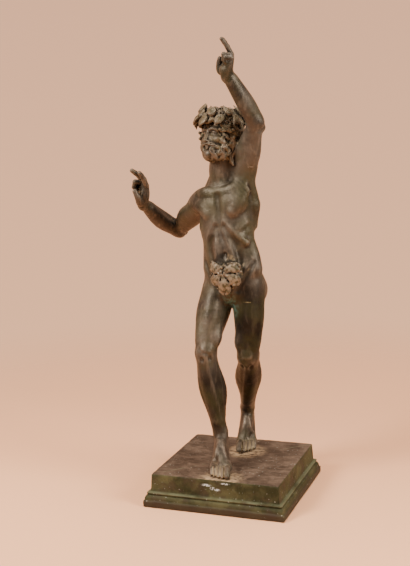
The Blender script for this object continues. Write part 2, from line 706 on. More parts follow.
head = Bone(neck.at(0, 3, 44), (-0.02, 0.16, 1), (-0.46, -1, 0.2), -1)
elbow = {
    "right": shoulder["right"] + UPPER_ARM * unit((-0.665, 0.55, -0.515)),
    "left": shoulder["left"] + UPPER_ARM * unit((0.335, -0.28, 0.9)),
}
wrist = {
    "right": elbow["right"] + FOREARM * unit((-0.36, -0.725, 0.585)),
    "left": elbow["left"] + (FOREARM - 3) * unit((-0.375, -0.4, 0.835)),
}
clay = Clay(deck(-100, -66, -4), deck(50, 66, 380), CLAY_GRAIN)


def soften(width):
    clay.soft = width


def bridge(*knots):
    clay.strand(knots)


def muscle(bone, *knots, **how):
    clay.strand([(bone, *knot) for knot in knots], **how)


def groove(bone, *knots):
    clay.strand([(bone, *knot) for knot in knots], cut=True)


def strap(bone, flat, *knots):
    clay.strand([(bone, *knot) for knot in knots], flat=flat, thin=bone.front)


def oval(bone, place, radii):
    clay.oval(bone, place, radii)


def hollow(bone, place, radii):
    clay.oval(bone, place, radii, cut=True)


def lay_trunk():
    """[side, front, up], side + to its left."""
    soften(6)
    oval(chest, (-2.6, 0, -3), (24.6, 17.5, 31))
    oval(chest, (0, -1, 17), (24.5, 14.5, 20))
    oval(chest, (0, -1, 26), (17, 12.5, 12))
    oval(pelvis, (-1, 1, 6), (25.2, 16.5, 21))
    oval(pelvis, (0, 1, -8), (24, 15, 13))
    bridge((pelvis, -3, 2, 10, 19), (chest, -3.2, 0, -22, 18.6))
    oval(pelvis, (-4, 1, 26), (21.4, 16, 20))
    for s in (-1, 1):
        flank = ((pelvis, s * 19.8 - 0.6, 3, 13, 7.6), (pelvis, s * 19.6 - 2.4, 0, 24, 6.6))
        bridge(*flank, (chest, s * 17 - 1.6, 0, -14, 5))
        oval(pelvis, (s * 12.5, -10.5, -8), (12.5, 11.5, 14.5))
        oval(pelvis, (s * 16.6 - 1, -4, -5), (8, 10, 14))
    for s in (-1, 1):
        # chest: a broad flat sheet that runs out to the arm, higher on the raised arm's side
        lift = 6 if s > 0 else 0
        soften(2.5)
        strap(chest, 0.5, (s * 4, 11.2, 25, 6), (s * 12, 10.4, 26, 7), (s * 20, 6, 26 + lift, 6))
        low = ((s * 4.5, 12.4, 15, 6.4), (s * 13, 11.9, 15 + 0.3 * lift, 7.4), (s * 22, 7, 19 + lift, 6))
        strap(chest, 0.5, *low)
        # lower edge of the ribs, broad back, shoulder blade, columns beside the spine
        soften(3)
        muscle(chest, (s * 3, 13.6, 0, 3), (s * 10, 13.2, -8, 3.2), (s * 19, 8, -19, 3))
        muscle(chest, (s * 15 - 2, -10, -30, 3.5), (s * 19.6 - 3.4, -6.5, -6, 4.6), (s * 22, -7, 12, 6))
        muscle(chest, (s * 9, -14.5, 0, 4.5), (s * 14, -14, 12, 6), (s * 18, -11, 22, 5))
        bridge(
            (pelvis, s * 5, -13, 2, 4), (pelvis, s * 6, -12.6, 18, 5),
            (chest, s * 6, -14, -16, 5), (chest, s * 5.5, -15, 6, 4),
        )
        soften(4)
        for rib in range(3):
            start = (s * (20.5 - rib) - 1.6, 5 - 1.5 * rib, -2 - 7 * rib, 2.6)
            muscle(chest, start, (s * (16 - rib) - 0.8, 10.2 - rib, -6 - 7 * rib, 2.4))
        # the belly's long flat muscle, and the oblique one that rolls over the hip
        soften(3.5)
        bridge(
            (chest, s * 5.4, 12.6, -7, 4.6), (chest, s * 5.8, 13.2, -19, 5),
            (pelvis, s * 5.8, 13.6, 25, 5.2), (pelvis, s * 5, 13.4, 12, 5.2), (pelvis, s * 3, 12, -6, 4),
        )
    # the furrow down the middle, the hollows under the ribs and beside the belly
    soften(3.5)
    middle = []
    for bone, along, radius, sunk in (
        (chest, 24, 2, 0.6), (chest, 12, 2.8, 0.7), (chest, 2, 2.6, 0.66), (chest, -10, 3, 0.7),
        (pelvis, 35, 2.8, 0.7), (pelvis, 25, 2, 0.6),
    ):
        middle.append((bone, 0, clay.skin(bone, 0, along) + radius * sunk, along, radius))
    clay.strand(middle, cut=True)
    for s in (-1, 1):
        under = []
        for bone, out, along, radius in (
            (chest, 4, -3, 2), (chest, 8.5, -10, 2.8), (chest, 12.5, -19, 3), (pelvis, 13, 21, 3),
            (pelvis, 13, 10, 2.4),
        ):
            sunk = 0.62 if s > 0 else 0.7
            under.append((bone, s * out, clay.skin(bone, s * out, along) + radius * sunk, along, radius))
        clay.strand(under, cut=True)
    # the navel, the groin lines, the nipples
    soften(1.4)
    hollow(pelvis, (0, clay.skin(pelvis, 0, 27) + 0.3, 27), (1, 1.2, 1.2))
    for s in (-1, 1):
        soften(2.5)
        line = []
        for out, along, radius in ((23, 19, 1.4), (17, 6, 2), (10, -6, 1.8)):
            line.append((s * out, clay.skin(pelvis, s * out, along) + radius * 0.6, along, radius))
        groove(pelvis, *line)
        up = 15 if s > 0 else 12
        soften(0.6)
        oval(chest, (s * 14.5, clay.skin(chest, s * 14.5, up) + 0.05, up), (0.9, 0.4, 0.9))
    soften(1.8)
    # the back's furrow and the cleft below it
    furrow = [(chest, 0, -20.5, 26, 1.4), (chest, 0, -20, 6, 2), (chest, 0, -19, -16, 2)]
    furrow += [(pelvis, 0, -18.5, 14, 1.6), (pelvis, 0, -19, 0, 1.6)]
    furrow += [(pelvis, 0, -21, -12, 2), (pelvis, 0, -15, -22, 2)]
    clay.strand(furrow, cut=True)


def lay_neck():
    """The neck, and the straps of muscle that hold it."""
    soften(4)
    bridge((chest, 0, -3, 24, 12), (neck, -0.6, 0.4, 8, 12), (head, 0, -5.5, -12, 10.6))
    for s, out, up in ((-1, -25, 19), (1, 17.5, 36)):
        # the shoulder's own joint, with the chest's directions
        def joint(a, b, c, radius):
            return (chest, out + a, -2 + b, up + c, radius)

        soften(4)
        bridge((head, s * 5, -12, -8, 6), (neck, s * 9, -5, 8, 7), joint(-s * 6, -2, 5, 6.4))
        bridge((chest, s * 4, -14, 8, 4), (chest, s * 9, -11, 30, 6), joint(-s * 6, -5, 4, 6))
        soften(1.8)
        bridge((chest, s * 3, 8.8, 33, 1.8), (chest, s * 10, 8.2, 32.5, 1.5), joint(-s * 4, 2.4, 4, 2))
        bridge((head, s * 11, -6, -9, 2.6), (neck, s * 9, 4, 12, 3), (chest, s * 2.6, 9, 33, 1.8))
    oval(neck, (0, 9, 13), (2.4, 2.2, 3.4))


def lay_arm(side, sign, front):
    """[out, front, along], where front is the side that the elbow bends to."""
    upper = Bone(shoulder[side], elbow[side] - shoulder[side], front, sign)
    fore = Bone(elbow[side], wrist[side] - elbow[side], front, sign)
    soften(3)
    sag = 5 if side == "right" else 1.2
    muscle(upper, (0, 0, 0, 9), (0, 0, 24, 7), (0, 0, UPPER_ARM, 6.4))
    muscle(upper, (2, 2.5, -2, 8.6), (3.8, 2.2, 11, 8.2), (2.8, 1, 26, 4.6))
    muscle(upper, (1, -4, -1, 7.6), (2.8, -3.8, 12, 6.8), (1.8, -2, 25, 4.6))
    muscle(upper, (-0.5, 3, 10, 4.6), (-0.5, 4.8, 27, 6.3), (0, 2.4, 47, 3.6))
    muscle(upper, (0, -3.6, 6, 5), (0.8, -4.8, 24, 6.6), (0, -3.8, 45, 4.8))
    muscle(upper, (3, 1, 30, 4), (4, 1.6, 44, 4.6), (3.4, 2, 55, 3.8))
    muscle(fore, (0, -1, -1, 5.8), (0, -sag, 20, 6.4), (0, -0.4, FOREARM, 4.9))
    muscle(fore, (2.6, 1, -8, 4.2), (3.6, -0.8, 13, 5.2), (1.8, -0.6, 40, 4.1))
    muscle(fore, (-3, 1, -3, 4.4), (-3.4, -0.8, 15, 5.2), (-1.6, -0.6, 40, 4.1))
    oval(fore, (0, -4, -2), (2.4, 1.8, 3.8))
    if side == "left":
        # the raised arm's bunched shoulder, on the head's side
        muscle(upper, (0, 7, -3, 7), (0, 7, 10, 6.6), (-0.5, 5, 26, 5.6))
    # the folds of the armpit
    bridge((upper, -1, 4, 2, 6), (chest, sign * 19, 8, 16, 5.5), (chest, sign * 12, 12, 9, 5))
    bridge((upper, -1, -5, 6, 5), (chest, sign * 21.8, -8, 13, 6), (chest, sign * 18, -11, -6, 4))


def lay_finger(hand, size, root, lengths, radius, bends, spread):
    """One finger, bent towards the palm joint by joint."""
    place = hand.at(root[0], 0, root[1])
    turn = 0.0
    for i, (length, bend) in enumerate(zip(lengths, bends)):
        turn += math.radians(bend)
        way = math.cos(turn) * hand.along + math.sin(turn) * hand.front + spread * hand.out
        bone = Bone(place, way, hand.out)
        reach, thick = size * length, size * radius
        muscle(bone, (0, 0, 0, thick * (1 - 0.08 * i)), (0, 0, reach, thick * (0.93 - 0.08 * i)))
        place = bone.at(0, 0, reach)


def lay_hand(hand, size, fingers, spread, thumb):
    """[out, front, along], where out is the thumb's side and front the palm's."""
    def sized(*knots):
        return [[size * number for number in knot] for knot in knots]

    soften(2.6)
    strap(hand, 0.84, *sized((1, 0, -3, 4.2), (2.4, 0, 7, 4.8), (2.8, 0, 14.4, 3.7)))
    strap(hand, 0.84, *sized((-1, 0, -3, 4.2), (-2.6, 0, 7, 4.4), (-2.8, 0, 13.4, 3.5)))
    muscle(hand, *sized((2.4, 1.2, 1, 2.8), (4.6, 2.2, 7, 2.9), (4.4, 1.2, 11.5, 1.8)))
    muscle(hand, *sized((-2.8, 1, 3, 2.6), (-4, 1.2, 10, 2.2)))
    soften(0.8)
    roots = sized((4.8, 15.8), (1.7, 16.6), (-1.5, 16), (-4.4, 14.2))
    lengths = ((6.6, 4.4, 3.2), (7.2, 4.8, 3.4), (6.8, 4.5, 3.2), (5.4, 3.6, 3))
    radii = (2.2, 2.25, 2.15, 1.95)
    for i in range(4):
        lay_finger(hand, size, roots[i], lengths[i], radii[i], fingers[i], spread[i])
    muscle(hand, *sized(*thumb))


def lay_leg(side, sign):
    """[out, front, along], where front is the kneecap's side."""
    front = (ball[side] - ankle[side]) * (1, 1, 0)
    thigh = Bone(hip[side], knee[side] - hip[side], front, sign)
    shank = Bone(knee[side], ankle[side] - knee[side], front, sign)
    soften(4)
    girth = 1.2 if side == "right" else 0
    muscle(thigh, (0, 0, -4, 12), (0, 0, 30, 11), (0, 0, THIGH, 9))
    muscle(thigh, (1, 5, -2, 7.5), (1.4, 5.8, 24, 8.8), (0.4, 3.6, 50, 6.6))
    muscle(thigh, (5.2, 0, 4, 6.4), (6 + girth, 1.6, 26, 7), (4.2 + girth, 2, 52, 5.2))
    muscle(thigh, (-6.4, -1, 2, 9.4), (-5.6 - girth, -1.6, 22, 8.4 + 0.5 * girth), (-3.8, -1.4, 46, 6.8))
    muscle(thigh, (1, -6, 0, 7.8), (1.4, -6.8, 26, 7.8), (3.6, -5, THIGH - 4, 4.6))
    muscle(thigh, (-3, -6, 22, 6.4), (-4.4, -4.8, 43, 5.2), (-4.4, -4, THIGH - 3, 4))
    soften(2.5)
    muscle(thigh, (-5, 3.4, 34, 4.8), (-6.2, 4.2, 48, 5.8), (-4.6, 4.2, THIGH - 4, 4))
    muscle(thigh, (5.6, 3.4, 32, 4.6), (6, 3.8, 46, 5), (4.4, 4, THIGH - 6, 3.6))
    soften(4)
    muscle(shank, (0, 0, 0, 8.6), (0, 0, 26, 7.8), (0, 0.2, 56, 5.8), (0, 0, SHANK, 5.4))
    muscle(shank, (-3, -4, 6, 4.6), (-5, -5, 35, 7.1), (-2.4, -4, 57, 4.6))
    muscle(shank, (3.6, -4, 2, 5.2), (5.4, -4.4, 31, 7), (3.4, -3.4, 54, 5.2), (1.6, -2.4, SHANK - 2, 4.4))
    muscle(shank, (0, -3.6, 30, 6.8), (0, -3.6, 47, 6.2), (0, -4, 64, 3.6))
    muscle(shank, (3, 3, 6, 4), (3.4, 3, 28, 4.5), (0.6, 3.2, 60, 3.2))
    soften(1.8)
    muscle(shank, (0, -5, 54, 2.6), (0, -5.8, 68, 2.2), (0, -6.4, SHANK + 2, 2.8))
    muscle(shank, (0, 8.2, 2, 2.6), (0, 7.2, 12, 2.4), (-1.6, 6, 42, 1.9), (-2.4, 3.6, 60, 1.6))
    soften(2.5)
    oval(thigh, (-0.4, 7.8, THIGH - 3), (4.6, 3, 5.2))
    soften(1.2)
    muscle(thigh, (5, 6.4, THIGH - 6, 1.2), (2.6, 9, THIGH - 1, 1.5), (-2.6, 9.2, THIGH, 1.4))
    for aside in (-1, 1):
        hollow(shank, (aside * 4.2, 9.2, 4.5), (2, 1.6, 2.6))
    soften(2.5)
    oval(shank, (4.2, -0.6, SHANK - 1), (2, 2.6, 2.8))
    oval(shank, (-4.2, 0.6, SHANK - 3), (1.9, 2.6, 2.6))
    return shank


def lay_foot(side, sign, shank):
    """Up on the ball, the heel in the air; [out, up, forward], out is the little toe's side."""
    forward = (ball[side] - ankle[side]) * (1, 1, 0)
    up = np.array([0, 0, 1]) + 0.5 * unit(forward)
    arch = Bone(ankle[side], ball[side] - ankle[side], up, sign)
    sole = Bone(ball[side], forward, (0, 0, 1), sign)
    half = 0.5 * np.linalg.norm(ankle[side] - ball[side])
    soften(3)
    bridge(
        (shank, 0, 0, SHANK - 14, 5.2), (arch, 0, -0.4, 0, 5.6), (arch, 0, 0.8, half, 5.2),
        (sole, -1.6, 2.2, 0, 4.2),
    )
    muscle(arch, (0, -8, -7, 5.4), (0, -4, -3, 5.2))
    bridge((arch, 1, -8, -6, 4.4), (arch, 3.6, -5, half, 3.6), (sole, 5.6, 0.2, -1, 3.2))
    bridge((arch, -1, -7, -5, 4.2), (arch, -3.6, -2.6, half, 3.8), (sole, -5.4, 1, 0, 4))
    muscle(sole, (-5, 1, 0, 4), (0, 0.8, 1, 3.6), (6.2, 0, -2, 3.2))
    toes = ((-5.9, 13, 2.7), (-1.5, 13.4, 1.9), (1.9, 12.2, 1.8), (5, 10.4, 1.7), (7.8, 8.2, 1.6))
    for out, length, radius in toes:
        # the tendon on the foot's back, then the toe, which arches up and bends down to the ground
        soften(1.6)
        root = 0.3 - 0.3 * out
        bridge(
            (arch, out * 0.22, 4.4, half * 0.5, 0.8), (arch, out * 0.5, 5, half * 1.1, 0.9),
            (sole, out * 0.9, 3.5, root - 4, 1.2), (sole, out, 1.6, root, 1.5),
        )
        soften(0.4)
        muscle(
            sole,
            (out, 1.4, root, radius), (out, radius * 0.6 + 0.6, root + length * 0.45, radius),
            (out, radius - 2.6, root + length * 0.8, radius),
            (out * 0.98, radius - 4.2, root + length, radius * 0.95),
        )
    soften(0.3)
    for i in range(4):
        gap = (toes[i][0] + toes[i][2] + toes[i + 1][0] - toes[i + 1][2]) / 2
        reach = min(toes[i][1], toes[i + 1][1])
        groove(
            sole,
            (gap, 5.2, 2.8 - 0.3 * gap, 0.4), (gap, 3.2, reach * 0.5, 0.7), (gap, 0.4, reach, 0.8),
            (gap, -2.4, reach + 2, 0.8),
        )


# Head: crowned with curls and a wreath, bearded, turned to its right. The face is a plain calm
# one, laid out by thirds; the eyes are at up 0, [side, front, up].
SKULL_PLACE = (0, -2.5, 5.5)
SKULL = (13.4, 16.5, 14.8)


def lay_face():
    soften(3)
    oval(head, SKULL_PLACE, SKULL)
    oval(head, (0, 3, -6), (10.5, 12, 13))
    for s in (-1, 1):
        muscle(head, (s * 9, 0, -9, 3.5), (s * 6, 9, -16, 3.2), (0, 12, -17.5, 3.2))
    soften(1.5)
    brow = ((-8.6, 10.4, 2.6, 1.4), (-4.8, 12.8, 3.8, 1.3), (0, 13.3, 3.2, 1.2))
    muscle(head, *brow, (4.8, 12.8, 3.8, 1.3), (8.6, 10.4, 2.6, 1.4))
    for s in (-1, 1):
        hollow(head, (s * 4.9, 14.2, 0.1), (3.3, 2.6, 2.1))
        oval(head, (s * 7.2, 9.4, -5), (3.4, 3.2, 3))
    muscle(head, (0, 13, 2.4, 1.2), (0, 15.4, -2, 1.2), (0, 17.2, -6.2, 1.6))
    soften(0.5)
    for s in (-1, 1):
        oval(head, (s * 1.9, 15.4, -6.8), (1.2, 1.6, 1.1))
        oval(head, (s * 4.7, 10.2, 0), (2.3, 2.2, 2.2))
        lid = ((s * 2.3, 11.6, 0.1), (s * 3.6, 12.5, 1.1), (s * 5.4, 12.2, 1.2), (s * 7.3, 10.6, 0.2))
        muscle(head, *((*place, 0.42) for place in lid))
        lid = ((s * 2.5, 11.5, -0.3), (s * 4.4, 12.1, -1.3), (s * 7.0, 10.5, -0.4))
        muscle(head, *((*place, 0.34) for place in lid))
    muscle(head, (-3.2, 13, -11, 0.5), (-1.1, 15, -10.8, 0.8), (1.1, 15, -10.8, 0.8), (3.2, 13, -11, 0.5))
    muscle(head, (-2.8, 13, -11.9, 0.5), (0, 14.9, -12.7, 1), (2.8, 13, -11.9, 0.5))
    for s in (-1, 1):
        # pointed ears that stand out of the hair, and small horns
        ear = ((s * 13.4, 0, -3, 1.3), (s * 14.4, -1.6, 1, 2), (s * 16, -3.6, 5.4, 1.3))
        muscle(head, *ear, (s * 17.6, -5, 9, 0.5))
        hollow(head, (s * 15.8, -0.6, 1.6), (1, 1.2, 2.4))
        muscle(head, (s * 5, 10.5, 13.5, 2.2), (s * 6, 13, 17.5, 1.5), (s * 6.4, 13.4, 21, 0.6))


# For each ring of locks: how far down from the crown and how long, in degrees, and how many
LOCK_RINGS = (
    (8, 34, 9), (30, 34, 14), (52, 32, 17), (72, 31, 18), (91, 29, 17), (108, 27, 15), (124, 26, 13),
)
NAPE_LOCKS = (12.4, 11.4, 9.4, 6.4, 2.4)


def over_skull(around, down, lift):
    """A point over the skull: around from the face to the nape and down from the crown, in degrees."""
    a, p = math.radians(around), math.radians(down)
    ways = (math.sin(p) * math.sin(a), math.sin(p) * math.cos(a), math.cos(p))
    return tuple(way * (size + lift) + middle for way, size, middle in zip(ways, SKULL, SKULL_PLACE))


def skull_knot(around, down, lift, radius):
    return (*over_skull(around, down, lift), radius)


def lay_hair():
    """Rings of thick locks that fall from the crown and curl out at their tips, each with grooves."""
    soften(2)
    oval(head, (0, -6, 5), (15.6, 16.5, 16))
    oval(head, (0, -10, -11), (13, 9.5, 12))
    for s in (-1, 1):
        muscle(head, (s * 12, -2, 8, 4), (s * 13, -3, -3, 4.4), (s * 11.4, -5, -14, 4))
    for ring, (down, length, count) in enumerate(LOCK_RINGS):
        radius = 2.3 + 0.12 * ring
        for i in range(count):
            around = ((i + (ring % 2) / 2) / count) * 360 + 12 * math.sin(i * 2.4 + ring)
            face = abs((around + 180) % 360 - 180)
            on_face = face < 58 and down > 50
            on_jaw = face < 80 and down > 100
            if on_face or on_jaw:
                continue
            wave = 9 if i % 2 else -9
            lock = (
                (around, down, 0.8, 0.8),
                (around + wave, down + length * 0.35, 2.8, 1),
                (around + wave * 0.3, down + length * 0.7, 3.6, 0.95),
                (around - wave * 1.2, down + length * 0.95, 4.2, 0.7),
                (around - wave * 1.9, down + length * 0.86, 5.2, 0.5),
            )
            soften(0.5)
            muscle(head, *(skull_knot(a, d, lift, radius * wide) for a, d, lift, wide in lock))
            # two grooves drawn along the lock
            soften(0.3)
            for side in (-3.6, 3.6):
                line = []
                for a, d, lift, wide in lock[:4]:
                    line.append(skull_knot(a + side, d, lift + radius * wide + 0.1, 0.55))
                groove(head, *line)
    # long locks that fall behind the ears to the nape
    for s in (-1, 1):
        for i, aside in enumerate(NAPE_LOCKS):
            back = -4 - 2.5 * i
            fall = (
                (aside, back, -4, 2.6), (aside + 0.8, back - 1, -12, 2.9), (aside - 1.8, back, -18, 2.7),
                (aside - 1.6, back - 0.6, -23, 2), (aside - 0.4, back - 1.2, -26 + i, 1),
            )
            soften(0.5)
            muscle(head, *((s * x, y, z, r) for x, y, z, r in fall))
            soften(0.3)
            groove(head, *((s * (x + 0.7 * r), y + 0.6 * r, z, 0.5) for x, y, z, r in fall[:4]))
    # curls over the forehead
    for i in range(9):
        around = -66 + 16.5 * i
        wave = 8 if i % 2 else -7
        soften(0.4)
        muscle(
            head,
            skull_knot(around, 50, 2, 2), skull_knot(around + wave, 62, 4, 2.3),
            skull_knot(around + wave * 0.2, 75, 3.6, 2), skull_knot(around - wave, 78, 3.4, 1.5),
            skull_knot(around - wave, 70, 5.4, 1),
        )
        soften(0.3)
        groove(
            head,
            skull_knot(around + 2, 52, 4.3, 0.5), skull_knot(around + wave + 2, 62, 6.5, 0.5),
            skull_knot(around + wave * 0.2 + 2, 74, 5.8, 0.5),
        )


# For each row of the beard's curls: its height on the face, how far the face is bare to each side
# of the middle, in degrees, and the curls' length and radius
BEARD_ROWS = (
    (2, 72, 6, 2), (-3, 60, 6, 2.2), (-7.4, 44, 6, 2.3), (-11.6, 20, 6, 2.4), (-15.6, 0, 5.4, 2.4),
)


def jaw_knot(around, up, lift, radius):
    """A knot over the jaw: around from the chin to the ear, in degrees, at a height on the face."""
    a = math.radians(around)
    narrow = math.sqrt(max(0.12, 1 - ((up + 6) / 19) ** 2))
    return ((10.2 + lift) * math.sin(a) * narrow, 2 + (11.4 + lift) * math.cos(a) * narrow, up, radius)


def lay_beard():
    """Rows of round curls from the ears along the jaw, and a moustache that runs into them."""
    soften(2)
    oval(head, (0, 4.2, -14), (7.6, 7.6, 5.6))
    for row, (up, bare, length, radius) in enumerate(BEARD_ROWS):
        for i in range(-4, 5):
            around = i * 21 + (10.5 if row % 2 else 0)
            if abs(around) < bare or abs(around) > 96:
                continue
            curl = 9 if (i + row) % 2 else -9
            soften(0.35)
            muscle(
                head,
                jaw_knot(around - curl * 0.4, up, 0.6, radius * 0.8),
                jaw_knot(around + curl, up - length * 0.4, 2.2, radius),
                jaw_knot(around + curl * 0.4, up - length * 0.85, 2.8, radius * 0.9),
                jaw_knot(around - curl * 0.6, up - length * 1.15, 2.4, radius * 0.6),
            )
            soften(0.3)
            groove(
                head,
                jaw_knot(around, up, 0.9 + radius, 0.5),
                jaw_knot(around + curl * 1.1, up - length * 0.4, 2.3 + radius, 0.5),
                jaw_knot(around + curl * 0.4, up - length * 0.8, 2.9 + radius, 0.5),
            )
    soften(0.4)
    for s in (-1, 1):
        muscle(
            head,
            (s * 0.8, 15.8, -8.8, 1), (s * 3, 15.2, -9, 1.5), (s * 5.8, 13.2, -10.2, 1.6),
            (s * 8, 10.8, -12.6, 1.2), (s * 8.4, 11.6, -10.6, 0.7),
        )
        groove(head, (s * 1.2, 16.7, -8.6, 0.4), (s * 4, 16, -8.8, 0.4), (s * 7.4, 13, -11, 0.4))


def lay_blade(bone, root, middle, tip, width):
    """A leaf that lies round a bone: a flat blade with a raised rib and notched sides."""
    soften(0.5)
    face = unit(bone.at(*middle) - bone.origin)
    knots = [(bone, *root, width * 0.3), (bone, *middle, width), (bone, *tip, width * 0.12)]
    clay.strand(knots, flat=0.3, thin=face)
    way = np.array([bone.at(*p) for p in (root, middle, tip)])
    lift = 0.3 * width * face
    plain = Bone((0, 0, 0), (0, 0, 1), (0, -1, 0), -1)

    def put(place, radius):
        return (plain, place[0], -place[1], place[2], radius)

    rib = [put(p + lift * share, r) for p, share, r in zip(way, (0.5, 1, 0.3), (0.55, 0.5, 0.3))]
    clay.strand(rib)
    side = unit(np.cross(way[2] - way[0], face))
    for s in (-1, 1):
        for share in (0.35, 0.7):
            start = way[0] + (way[2] - way[0]) * share + 0.25 * (way[1] - way[0]) * (1 - share)
            notch = start + s * side * width * (1.15 - 0.3 * share)
            clay.strand([put(notch - 1.2 * face, 0.5), put(notch + 1.2 * face, 0.5)], cut=True)


# The two leaves that stand free, one over the right brow and one above it: around, down, turn,
# rise and stand
FREE_LEAVES = ((-26, 58, -24, 25, 2.4), (-36, 52, -4, -20, 3))
BUNCHES = 16


def lay_wreath():
    """A twisted stem round the hair, leaves that stand from it, and berries in threes."""
    def tilt(around):
        return 62 + 4 * math.cos(math.radians(around))

    soften(0.6)
    for phase in (0, 180):
        knots = []
        for around in range(0, 361, 24):
            twist = math.radians(around * 5 + phase)
            down = tilt(around) + 3 * math.sin(twist)
            knots.append(skull_knot(around, down, 4 + 0.8 * math.cos(twist), 1.2))
        muscle(head, *knots)
    for i in range(BUNCHES):
        around = i * (360 / BUNCHES) + 6
        way = -1 if i % 2 else 1
        stand = (0, 1.2, 0.4, 0.8)[i % 4]
        root = over_skull(around, tilt(around), 4)
        middle = over_skull(around - 7, tilt(around) + way * 9, 6 + stand)
        tip = over_skull(around - 19, tilt(around) + way * 26, 6.4 + 1.3 * stand)
        lay_blade(head, root, middle, tip, 4.3)
        soften(0.3)
        for turn, drop in ((12, 0), (16, 3), (15, -3)):
            oval(head, over_skull(around + turn, tilt(around) - way * 4 + drop, 5.4), (1.15, 1.15, 1.15))
    for around, down, turn, rise, stand in FREE_LEAVES:
        root = over_skull(around, down, 4.4)
        middle = over_skull(around + 0.4 * turn, down + 0.4 * rise, 5 + stand)
        tip = over_skull(around + turn, down + rise, 5.5 + 1.5 * stand)
        lay_blade(head, root, middle, tip, 4.8)


LEAF_FRONT, LEAF_UP = 21.2, 11
LOBES = ((-90, 18, 6.4), (-36, 15, 5.6), (-144, 15, 5.6), (24, 14, 5.2), (156, 14, 5.2))
CREASES = (-62, -118, -6, 186, 90)
CRUMPLES = 64


def lay_vine_leaf():
    """Five blunt lobes round a stalk, below the navel; [side, front, up] of the pelvis."""
    def on_leaf(turn, far, lift):
        a = math.radians(turn)
        aside = math.cos(a) * far
        return (aside, LEAF_FRONT + lift - 0.018 * aside**2, LEAF_UP + math.sin(a) * far)

    for turn, length, width in LOBES:
        soften(1.2)
        knots = [(*on_leaf(turn, 0, 0), 3), (*on_leaf(turn, length * 0.5, 1.4), width)]
        knots.append((*on_leaf(turn, length * 0.9, -0.4), width * 0.55))
        clay.strand([(pelvis, *knot) for knot in knots], flat=0.5, thin=pelvis.front)
        # crinkled knobs between the veins, and the lobe's curled rim
        soften(0.5)
        for aside in (-1, 1):
            for share, size in ((0.34, 2.1), (0.6, 2.3), (0.84, 1.9)):
                spread = aside * math.degrees(math.atan2(width * 0.52, length * share + 2))
                oval(pelvis, on_leaf(turn + spread, length * share + 1, 3.1 - 2 * share), (size, 1.7, size))
            muscle(
                pelvis,
                (*on_leaf(turn + aside * 24, length * 0.62, 1.6), 0.9),
                (*on_leaf(turn + aside * 17, length * 0.9, 1.4), 1.1),
                (*on_leaf(turn + aside * 4, length * 1.04, 0.8), 1.2),
            )
        vein = []
        for far in (0.1, 0.5, 0.95):
            vein.append((*on_leaf(turn, far * length, 3.6 - 2.2 * far), 0.7 - 0.3 * far))
        muscle(pelvis, *vein)
    # creases between the lobes, and crumpled folds round the stalk
    soften(0.6)
    for turn in CREASES:
        groove(
            pelvis,
            (*on_leaf(turn, 4, 3.6), 0.6), (*on_leaf(turn + 6, 8, 3), 0.9), (*on_leaf(turn, 12, 1.4), 1),
        )
    soften(0.35)
    for i in range(CRUMPLES):
        turn, far = 137.5 * i, 15.5 * math.sqrt((i + 0.5) / CRUMPLES)
        lift = 3.2 - 0.09 * far + 0.5 * math.sin(5.1 * i)
        size = 1.15 + 0.45 * math.sin(2.3 * i)
        oval(pelvis, on_leaf(turn, far, lift), (size, 1.1, size * 0.9))


def lay_tail():
    soften(2)
    curl = ((0, -15, 6, 3.4), (1, -20, 8.5, 2.8), (3, -23.5, 5.5, 2.4))
    muscle(pelvis, *curl, (3.4, -23.6, 0, 2), (1, -22.4, -4, 0.8))


# The figure's casting: the clay's skin, thinned to a mesh, with its patina. The high places are
# rubbed to a lighter brown, the hollows hold dark wax and dust, and olive and a little
# blue-green stand on the flank, below the arm and at the groin.
CAST_TRIANGLES = 188_000
UMBER = (0.0055, 0.0043, 0.0029, 1)
BROWN_DEEP = (0.0125, 0.0095, 0.0068, 1)
BROWN = (0.0460, 0.0350, 0.0250, 1)
OCHRE = (0.118, 0.086, 0.038, 1)
BRONZE_OLIVE = (0.036, 0.034, 0.013, 1)
RUBBED = (0.145, 0.113, 0.083, 1)
TAN_DUST = (0.250, 0.190, 0.110, 1)
LEAF_DUST = (0.230, 0.180, 0.130, 1)
VERDIGRIS = (0.070, 0.150, 0.125, 1)
BRASSY = (0.240, 0.190, 0.095, 1)
BARE = (0.260, 0.230, 0.185, 1)
# Places on the figure: centre, the reach of the full tone, the reach of its fading, and stretch
DARK_WAXED = (
    ((0.020, -0.002, 0.155), 0.012, 0.028, (0.9, 1.2, 1.6)),
    ((0.014, 0.012, 0.085), 0.012, 0.030, (1, 1, 2)),
    ((-0.012, -0.022, 0.088), 0.010, 0.036, (1, 1, 1.3)),
    ((-0.075, -0.050, 0.258), 0.012, 0.044, (1.2, 1, 1)),
)
HANDLED = (
    ((-0.006, -0.014, 0.245), 0.012, 0.040, (1, 1, 1.3)),
    ((-0.012, -0.022, 0.150), 0.008, 0.024, (1, 1, 1.5)),
    ((0.020, -0.006, 0.305), 0.010, 0.026, (1, 1, 1.4)),
)
OLIVE_CLOUDS = (
    ((0.022, -0.002, 0.270), 0.008, 0.030, (1, 1, 1)),
    ((0.020, 0.000, 0.232), 0.006, 0.026, (1, 1, 1)),
    ((-0.010, -0.006, 0.262), 0.006, 0.024, (1, 1, 1)),
    ((0.004, -0.004, 0.170), 0.004, 0.018, (1, 1, 1)),
)
# How far from the skin the clay is felt for each of the marks, in millimetres
BEND_REACH = 2.4
HOLLOW_REACH = 1.3
DEEP_REACH = 4.5
EDGE_REACH = 1.1
SOLE_GAP = 0.03


